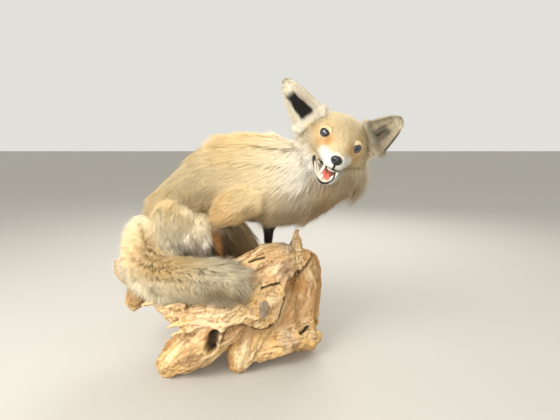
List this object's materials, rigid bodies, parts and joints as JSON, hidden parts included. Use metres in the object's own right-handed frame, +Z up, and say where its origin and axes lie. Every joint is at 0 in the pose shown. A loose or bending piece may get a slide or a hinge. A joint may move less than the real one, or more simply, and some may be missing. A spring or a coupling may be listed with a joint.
{
  "type": "taxidermy red fox",
  "caption": "Life-size mounted red fox, crouched on a gnarled driftwood root with its head turned and tilted in a snarl and its brush curled round in front.",
  "frame": {"origin": "middle of the model's box, on the floor", "axes": "+X from the rump towards the fox's shoulders, +Y from the side that the head and brush face to the far side, +Z up"},
  "size_m": [0.5424, 0.2852, 0.5191],
  "materials": {
    "coat": "long soft fur, straw to golden buff over cream",
    "dark_coat": "short dark brown fur of the stockings and paws",
    "ear_hide": "dry hide with short buff fur outside",
    "eye_glass": "polished glass eye, pale grey-blue iris",
    "nose_leather": "pebbled black skin, satin lacquer",
    "mouth_paint": "painted wax, wet gloss",
    "driftwood": "weathered, furrowed, dry and matt"
  },
  "bodies": {
    "root": {"head": "coat", "lower_jaw": "coat", "neck": "coat", "trunk": "coat", "tail_base": "coat", "tail_middle": "coat", "tail_tip": "coat", "fore_leg_left": "coat", "fore_leg_right": "coat", "hind_leg_left": "coat", "hind_leg_right": "coat", "fore_paw_left": "dark_coat", "fore_paw_right": "dark_coat", "hind_paw_left": "dark_coat", "hind_paw_right": "dark_coat", "ear_left": "ear_hide", "ear_right": "ear_hide", "eye_left": "eye_glass", "eye_right": "eye_glass", "nose": "nose_leather", "tongue": "mouth_paint", "driftwood": "driftwood"}
  },
  "joints": []
}
